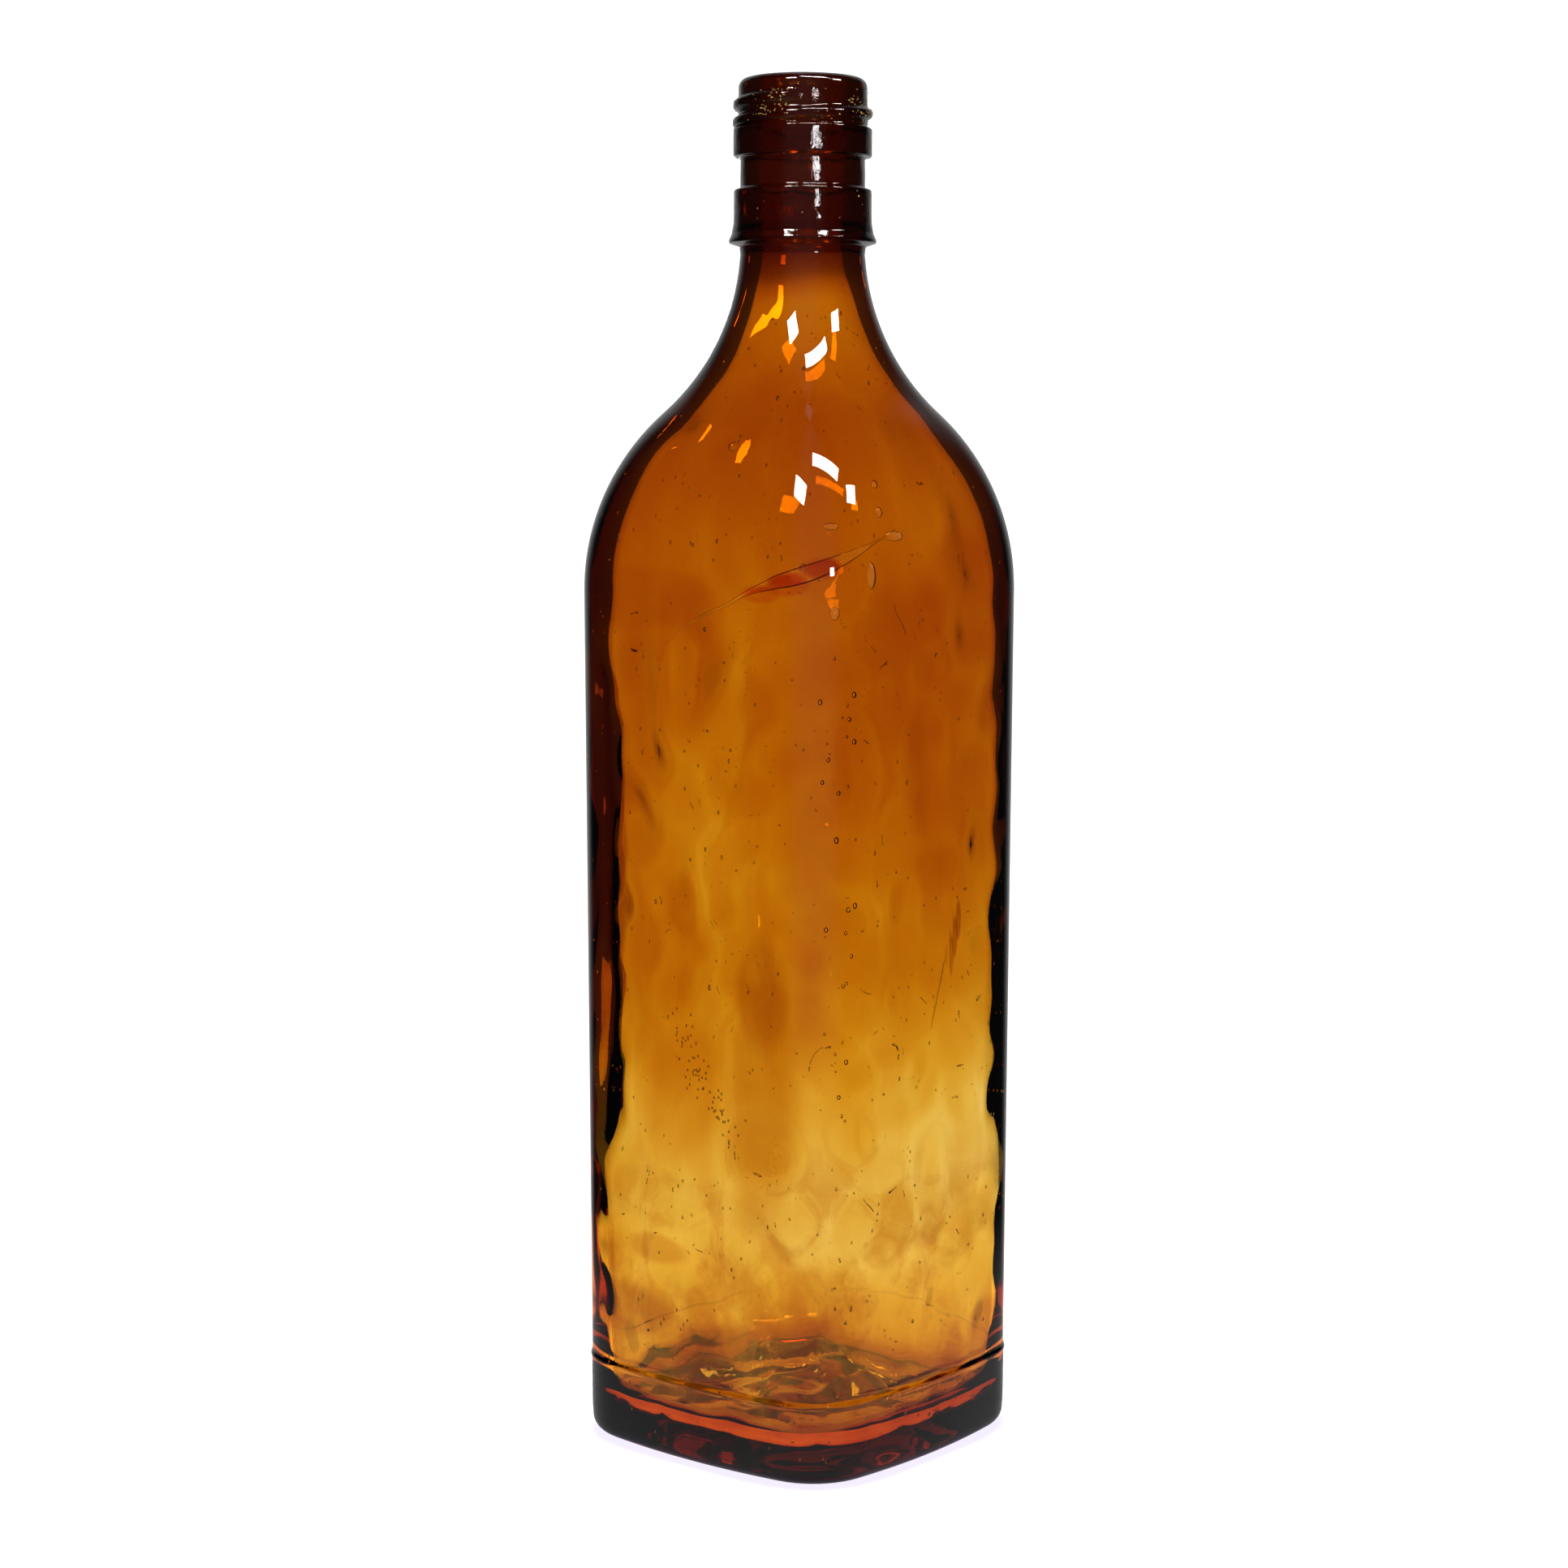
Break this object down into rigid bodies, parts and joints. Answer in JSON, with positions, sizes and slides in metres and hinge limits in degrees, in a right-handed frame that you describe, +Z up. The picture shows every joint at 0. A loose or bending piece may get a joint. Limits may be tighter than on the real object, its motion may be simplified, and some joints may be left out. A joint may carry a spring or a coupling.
{
  "type": "square glass bottle",
  "caption": "Square amber glass bottle with bulged faces, a rounded shoulder sweeping up to a slim neck, and an open screw finish with bead and flanged collar.",
  "frame": {"origin": "centre of the base, on the plane of the bearing ring that the bottle stands on", "axes": "+Z up the bottle's axis to the mouth; the four faces look along +X, -X, +Y and -Y"},
  "size_m": [0.076, 0.076, 0.2834],
  "materials": {
    "amber_glass": "glossy transparent amber glass, wavy inside, with seeds"
  },
  "bodies": {
    "root": {"bottle": "amber_glass"}
  },
  "joints": []
}
